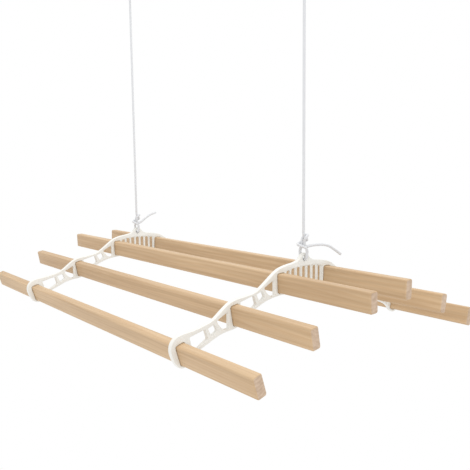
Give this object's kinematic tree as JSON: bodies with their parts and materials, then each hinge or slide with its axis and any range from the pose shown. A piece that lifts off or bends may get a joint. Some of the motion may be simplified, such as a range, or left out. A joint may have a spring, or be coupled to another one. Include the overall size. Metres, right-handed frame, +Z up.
{
  "type": "ceiling mounted pulley rack",
  "caption": "Hanging clothes drying rack: wooden laths through two cast ends on ropes over ceiling pulleys, raised and lowered.",
  "frame": {"origin": "on the ceiling, midway between the two places where the ropes rise, over the rack's middle", "axes": "+X along the laths towards the double pulley, +Y from front to back, +Z up into the ceiling"},
  "size_m": [1.029, 0.574, 0.7815],
  "materials": {
    "lath_wood": "planed pine, clear satin",
    "casting_paint": "ivory powder coat, satin",
    "sheave_paint": "ivory powder coat, satin",
    "rope": "white braided cotton",
    "pin_steel": "bright zinc plate"
  },
  "bodies": {
    "ceiling_fittings": {"double_pulley_axle": "pin_steel", "double_pulley_frame": "casting_paint", "double_pulley_screw_1": "pin_steel", "double_pulley_screw_2": "pin_steel", "left_rope_far_turn": "rope", "left_rope_haul": "rope", "left_rope_rise": "rope", "left_rope_run": "rope", "left_rope_turn": "rope", "right_rope_haul": "rope", "right_rope_rise": "rope", "right_rope_turn": "rope", "single_pulley_axle": "pin_steel", "single_pulley_frame": "casting_paint", "single_pulley_screw_1": "pin_steel", "single_pulley_screw_2": "pin_steel"},
    "rack": {"lath_1": "lath_wood", "lath_2": "lath_wood", "lath_3": "lath_wood", "lath_4": "lath_wood", "lath_5": "lath_wood", "lath_6": "lath_wood", "left_eye_loop": "rope", "left_rope_knot": "rope", "left_rope_tail": "rope", "rack_end_left": "casting_paint", "rack_end_right": "casting_paint", "right_eye_loop": "rope", "right_rope_knot": "rope", "right_rope_tail": "rope"},
    "single_sheave": {"single_pulley_sheave": "sheave_paint"},
    "double_sheave_front": {"double_pulley_sheave_front": "sheave_paint"},
    "double_sheave_back": {"double_pulley_sheave_back": "sheave_paint"},
    "haul_ends": {"left_haul_knot": "rope", "right_haul_knot": "rope"}
  },
  "joints": [
    {"name": "rack_lift", "type": "slide", "parent": "ceiling_fittings", "child": "rack", "axis": [0, 0, 1], "range_m": [0, 0.48], "deforming": ["left_rope_rise", "right_rope_rise"]},
    {"name": "haul_pull", "type": "slide", "parent": "ceiling_fittings", "child": "haul_ends", "axis": [0, 0, -1], "range_m": [0, 0.48], "deforming": ["left_rope_haul", "right_rope_haul"]},
    {"name": "single_sheave_spin", "type": "hinge", "parent": "ceiling_fittings", "child": "single_sheave", "pos_m": [-0.2726, 0, -0.038], "axis": [0, 1, 0], "continuous": true},
    {"name": "front_sheave_spin", "type": "hinge", "parent": "ceiling_fittings", "child": "double_sheave_front", "pos_m": [0.3134, 0, -0.038], "axis": [0, 1, 0], "continuous": true},
    {"name": "back_sheave_spin", "type": "hinge", "parent": "ceiling_fittings", "child": "double_sheave_back", "pos_m": [0.3134, 0.016, -0.038], "axis": [0, 1, 0], "continuous": true}
  ],
  "couplings": [
    {"joint": "haul_pull", "follows": "rack_lift", "ratio": 1},
    {"joint": "single_sheave_spin", "follows": "rack_lift", "rad_per_m": 49.02},
    {"joint": "front_sheave_spin", "follows": "rack_lift", "rad_per_m": 49.02},
    {"joint": "back_sheave_spin", "follows": "rack_lift", "rad_per_m": 49.02}
  ]
}
